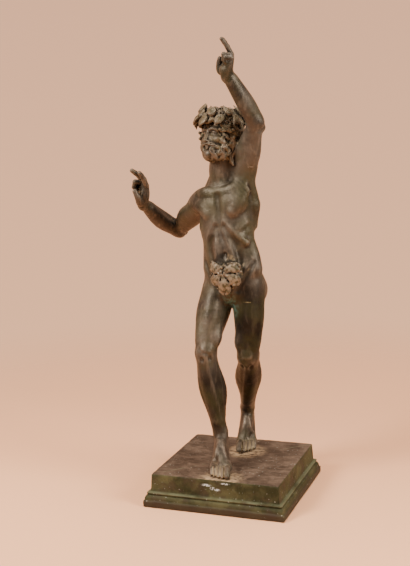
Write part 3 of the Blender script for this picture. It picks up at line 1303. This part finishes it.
def model_figure():
    lay_trunk()
    lay_neck()
    lay_arm("right", -1, (0.1, -0.66, 0.75))
    lay_arm("left", 1, (-0.92, 0.3, 0))
    lay_foot("right", -1, lay_leg("right", -1))
    lay_foot("left", 1, lay_leg("left", 1))
    lay_hand(
        Bone(wrist["right"], (0.2, -0.25, 0.95), (-0.75, -0.66, -0.2), -1),
        1.12,
        ((24, 10, 6), (38, 10, 6), (84, 88, 40), (88, 88, 42)),
        (0.14, -0.12, -0.06, -0.06),
        ((3, 3.2, 1, 3.8), (5.2, 5, 3.6, 3.4), (6.2, 7.4, 7.5, 2.6), (4.4, 9.2, 11.5, 2)),
    )
    lay_hand(
        Bone(wrist["left"], (0.33, -0.1, 0.94), (-0.9, -0.4, 0), 1),
        0.95,
        ((40, 4, 2), (44, 6, 4), (96, 96, 50), (98, 96, 50)),
        (0.08, 0.06, -0.03, -0.06),
        ((3, 2.2, -1, 3.4), (4.6, 5.4, 0, 3.1), (5, 7.6, 5.5, 2.6), (4.6, 8.2, 10, 2.1)),
    )
    clay.laying = SKIN
    lay_face()
    clay.laying = HAIR
    lay_hair()
    lay_beard()
    clay.laying = WREATH
    lay_wreath()
    clay.laying = LEAF
    lay_vine_leaf()
    clay.laying = SKIN
    lay_tail()


def mark(coat, name):
    """A number that was worked out for each point of the cast mesh."""
    return coat.node("ShaderNodeAttribute", attribute_name=name).outputs["Fac"]


def patches(coat, places):
    """1 in any of several places on the figure, fading to 0 round them."""
    share = 0.0
    for place in places:
        share = coat.sum("MAXIMUM", share, coat.near(*place))
    return share


def bronze_material():
    coat = Coat("brown_bronze_patina")
    shine = coat.shader

    def both(a, b):
        return coat.sum("MULTIPLY", a, b)

    hollow, deep, edge = mark(coat, "hollow"), mark(coat, "deep"), mark(coat, "edge")
    hair, leaf = mark(coat, "hair"), mark(coat, "leaf")
    crest, dip = mark(coat, "crest"), mark(coat, "dip")
    broad = coat.speckle(0.016, 5, 0.6, warp=0.5)
    fine = coat.speckle(0.0030, 5, 0.65)
    streaks = coat.speckle(0.0042, 5, 0.6, stretch=(1, 1, 3.4), warp=0.4, at=(2, 5, 1))
    tone = coat.lay(coat.span(broad, 0.32, 0.66), BROWN_DEEP, BROWN)
    tone = coat.lay(both(coat.span(streaks, 0.50, 0.68), 0.45), tone, RUBBED)
    stains = coat.speckle(0.0075, 6, 0.7, stretch=(1, 1, 2.6), warp=0.8, at=(5, 9, 2))
    tone = coat.lay(both(coat.span(stains, 0.52, 0.68), 0.75), tone, BROWN_DEEP)
    # the left leg, the right shin and the held-out forearm have kept most of their dark wax
    shade = patches(coat, DARK_WAXED)
    tone = coat.lay(both(shade, 0.70), tone, UMBER)
    # the chest, the right thigh and the raised arm are a little paler from handling
    handled = both(patches(coat, HANDLED), coat.span(broad, 0.25, 0.60))
    tone = coat.lay(both(handled, 0.25), tone, RUBBED)
    # olive below the raised arm, on the left flank, the chest and the groin, and in drifting clouds
    drift = coat.span(coat.speckle(0.020, 4, 0.55, at=(7, 1, 4)), 0.44, 0.62)
    olive = coat.sum("MAXIMUM", both(drift, 0.45), both(patches(coat, OLIVE_CLOUDS), 0.75))
    tone = coat.lay(olive, tone, BRONZE_OLIVE)
    # ochre wax on the hair, the face and the leaves
    carved = coat.sum("MAXIMUM", hair, leaf)
    on_face = coat.near((-0.006, -0.014, 0.312), 0.010, 0.022)
    warm = coat.sum("MAXIMUM", both(carved, 0.75), both(on_face, 0.6))
    mottle = coat.speckle(0.0034, 4, 0.6, at=(8, 3, 5))
    tone = coat.lay(both(warm, coat.span(mottle, 0.36, 0.60)), tone, OCHRE)
    tone = coat.lay(both(carved, coat.span(mottle, 0.50, 0.36)), tone, BRONZE_OLIVE)
    beard = coat.near((-0.010, -0.020, 0.3035), 0.006, 0.014, (1, 1, 0.7))
    tone = coat.lay(both(beard, 0.6), tone, UMBER)
    # pale dust on the vine leaf alone
    pale = both(both(leaf, coat.near((-0.001, -0.018, 0.198), 0.016, 0.022)), coat.span(mottle, 0.42, 0.58))
    tone = coat.lay(both(pale, 0.55), tone, LEAF_DUST)
    # high places rubbed to the metal's own brown
    rub = coat.span(coat.sum("ADD", edge, both(coat.sum("SUBTRACT", streaks, 0.5), 0.3)), 0.10, 0.42)
    tone = coat.lay(both(rub, 0.60), tone, RUBBED)
    tone = coat.lay(both(both(crest, coat.span(streaks, 0.30, 0.60)), 0.45), tone, RUBBED)
    tone = coat.lay(both(dip, 0.50), tone, UMBER)
    # dark wax in the hollows, with dust over the deepest of it
    dark = coat.span(coat.sum("ADD", hollow, both(coat.sum("SUBTRACT", fine, 0.5), 0.25)), 0.10, 0.50)
    spared = coat.span(carved, 0, 1, 1, 0.70)
    tone = coat.lay(both(both(dark, 0.85), spared), tone, UMBER)
    sunk = both(coat.span(deep, 0.30, 0.85), coat.span(carved, 0, 1, 0.75, 0.25))
    tone = coat.lay(sunk, tone, UMBER)
    sandy = both(coat.span(deep, 0.30, 0.60), coat.span(coat.speckle(0.0050, 4, at=(3, 3, 9)), 0.52, 0.66))
    tone = coat.lay(both(sandy, 0.55), tone, TAN_DUST)
    # green that has run from under the vine leaf
    run = coat.near((0.002, -0.006, 0.172), 0.003, 0.013, (0.7, 1.0, 1.5))
    run = both(run, coat.span(coat.speckle(0.0030, 4, 0.6, at=(4, 8, 2)), 0.38, 0.60))
    tone = coat.lay(both(run, 0.75), tone, VERDIGRIS)
    # small bright marks: a brassy line at the groin, a scratch on the raised arm, a stripe on the neck
    ragged = coat.span(coat.speckle(0.0012, 3, 0.6, at=(1, 2, 3)), 0.40, 0.56)
    brass = both(coat.near((0.0185, -0.0083, 0.1744), 0.0004, 0.0012, (4.5, 3.0, 0.5)), ragged)
    tone = coat.lay(both(brass, 0.6), tone, BRASSY)
    scratch = both(coat.near((0.0216, -0.0025, 0.2908), 0.0004, 0.0010, (3.6, 3.6, 0.55)), ragged)
    tone = coat.lay(both(scratch, 0.8), tone, BARE)
    stripe = coat.near((-0.008, -0.006, 0.2866), 0.0010, 0.0045, (0.9, 1.2, 2.8))
    tone = coat.lay(both(stripe, both(coat.span(fine, 0.30, 0.60), 0.45)), tone, RUBBED)
    # dust of the floor on the toes
    sunk = coat.sum("MAXIMUM", coat.span(hollow, 0.02, 0.25), coat.span(dip, 0.05, 0.40))
    floor = both(coat.span(coat.axis(2), 0.0400, 0.0310), sunk)
    tone = coat.lay(both(floor, 0.95), tone, TAN_DUST)
    coat.join(tone, shine.inputs["Base Color"])
    coat.join(coat.span(shade, 0, 1, 0.42, 0.12), shine.inputs["Specular IOR Level"])
    shine.inputs["Specular Tint"].default_value = (1.0, 0.86, 0.70, 1)
    coat.join(coat.span(rub, 0, 1, 0.12, 0.40), shine.inputs["Metallic"])
    gloss = coat.span(coat.sum("ADD", broad, both(fine, 0.5)), 0.45, 1.05, 0.34, 0.60)
    coat.join(coat.sum("ADD", gloss, both(dark, 0.16)), shine.inputs["Roughness"])
    pits = coat.span(coat.speckle(0.0008, 2, 0.5, at=(6, 6, 6)), 0.64, 0.78)
    skin = coat.bump(coat.sum("SUBTRACT", fine, both(pits, 0.6)), 0.0007, 0.50)
    coat.join(coat.bump(streaks, 0.0007, 0.30, skin), shine.inputs["Normal"])
    return coat.material


def largest_body(points, faces):
    """Only the body with the most faces, without crumbs and without pockets inside it."""
    label = np.arange(len(points))
    while True:
        least = label[faces].min(1)
        joined = label.copy()
        for k in range(faces.shape[1]):
            np.minimum.at(joined, faces[:, k], least)
        joined = joined[joined]
        if np.array_equal(joined, label):
            break
        label = joined
    owner = label[faces[:, 0]]
    names, counts = np.unique(owner, return_counts=True)
    kept = faces[owner == names[counts.argmax()]]
    used, renumbered = np.unique(kept, return_inverse=True)
    return points[used], renumbered.reshape(kept.shape)


def mark_points(mesh):
    """Notes for each point how hollow or sharp the clay is round it, and what was laid there."""
    count = len(mesh.vertices)
    places, ways = np.empty(3 * count, np.float32), np.empty(3 * count, np.float32)
    mesh.vertices.foreach_get("co", places)
    mesh.vertices.foreach_get("normal", ways)
    places = places.reshape(-1, 3) / MM
    ways = ways.reshape(-1, 3)
    spot = np.round((places - clay.low) / CLAY_GRAIN).astype(int)
    laid = clay.kind[tuple(np.clip(spot, 0, clay.size - 1).T)]
    # how sharply the skin bends, in 1/mm: above 0 on ridges, below 0 in folds
    bend = -6 * clay.depth_at(places)
    for step in BEND_REACH * np.vstack([np.eye(3), -np.eye(3)]):
        bend += clay.depth_at(places + step)
    bend /= BEND_REACH**2
    marks = {
        "crest": (bend - 0.14) / 0.30,
        "dip": (0.02 - bend) / 0.22,
        "hollow": 1 - clay.depth_at(places + HOLLOW_REACH * ways) / HOLLOW_REACH,
        "deep": 1 - clay.depth_at(places + DEEP_REACH * ways) / DEEP_REACH,
        "edge": 1 + clay.depth_at(places - EDGE_REACH * ways) / EDGE_REACH,
        "hair": (laid == HAIR).astype(np.float32),
        "leaf": ((laid == LEAF) | (laid == WREATH)).astype(np.float32),
    }
    for name, values in marks.items():
        values = np.clip(values, 0, 1).astype(np.float32)
        mesh.attributes.new(name, "FLOAT", "POINT").data.foreach_set("value", values)


def cast_figure():
    # the toes and the ball of each foot stand flat on the plinth
    k = int(np.searchsorted(clay.low[2] + CLAY_GRAIN * np.arange(clay.size[2]), PLINTH_TOP + 1))
    below = PLINTH_TOP + SOLE_GAP - (clay.low[2] + CLAY_GRAIN * np.arange(k))
    clay.field[:, :, :k] = np.maximum(clay.field[:, :, :k], below.astype(np.float32))
    clay.close_touches()
    points, faces = largest_body(*clay.surface())
    raw = cast("dancing_faun", points, faces, bronze_material())
    thin = raw.modifiers.new("thin", "DECIMATE")
    thin.ratio = min(1.0, CAST_TRIANGLES / (2 * len(faces)))
    mesh = bpy.data.meshes.new_from_object(raw.evaluated_get(bpy.context.evaluated_depsgraph_get()))
    raw.modifiers.clear()
    raw.data = mesh
    mark_points(mesh)
    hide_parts("faun_figure")
    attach(raw, "root")


model_figure()
cast_figure()
